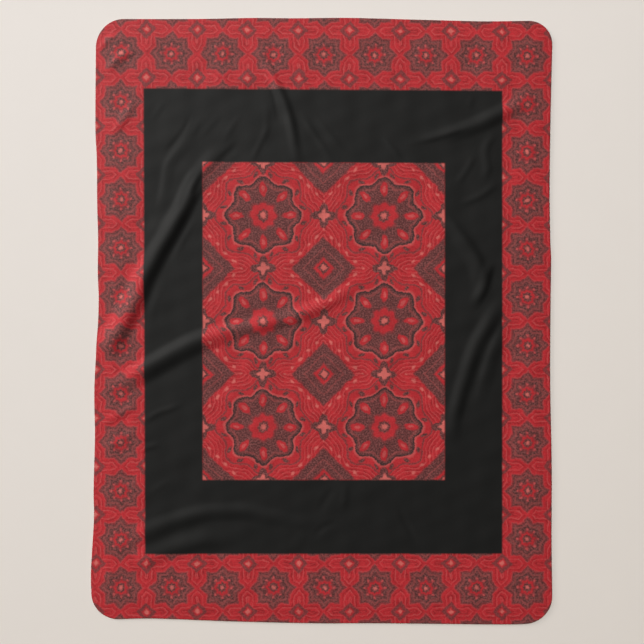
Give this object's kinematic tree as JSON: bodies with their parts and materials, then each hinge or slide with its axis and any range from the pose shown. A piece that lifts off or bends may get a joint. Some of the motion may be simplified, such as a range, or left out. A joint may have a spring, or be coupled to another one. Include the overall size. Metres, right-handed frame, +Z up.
{
  "type": "sherpa blanket",
  "caption": "Large throw blanket with rounded corners, a printed fleece face sewn to a sherpa pile back, laid out flat with soft folds.",
  "frame": {"origin": "on the floor plane, at the centre of the laid blanket's plan", "axes": "+X across the blanket's width, +Y along its length, +Z up out of the printed face"},
  "size_m": [1.532, 2.0139, 0.0213],
  "materials": {
    "sherpa_pile": "nubby cream sherpa pile",
    "printed_fleece": "short-napped fleece, printed in red, charcoal and black"
  },
  "bodies": {
    "root": {"sherpa_back": "sherpa_pile", "printed_face": "printed_fleece"}
  },
  "joints": []
}
